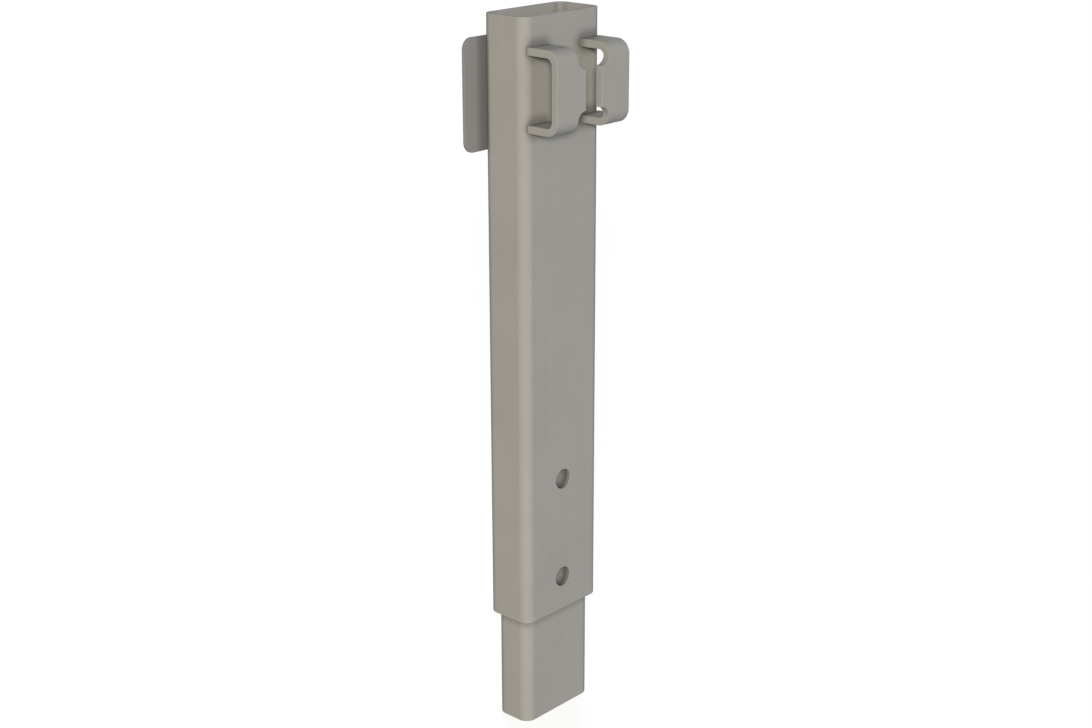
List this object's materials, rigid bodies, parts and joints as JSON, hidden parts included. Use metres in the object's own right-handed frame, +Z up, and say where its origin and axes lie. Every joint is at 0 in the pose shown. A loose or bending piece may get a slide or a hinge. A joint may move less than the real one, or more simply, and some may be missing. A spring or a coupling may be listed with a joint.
{
  "type": "fence post",
  "caption": "Rectangular steel tube post with a smaller tube as its spigot, bent loop brackets on the front face and a flat plate on the back.",
  "frame": {"origin": "on the post's vertical axis, at the spigot's lower end", "axes": "+Z up the post, -Y out of the wide front face that carries the loop brackets, +Y out of the back plate, +X to the viewer's right when looking at the front face"},
  "size_m": [0.143, 0.088, 0.6735],
  "materials": {
    "post_steel": "matt warm grey",
    "plate_steel": "matt, slightly darker grey"
  },
  "bodies": {
    "root": {"post_tube": "post_steel", "spigot_tube": "post_steel", "left_loop_bracket": "post_steel", "right_loop_bracket": "post_steel", "back_plate": "plate_steel"}
  },
  "joints": []
}
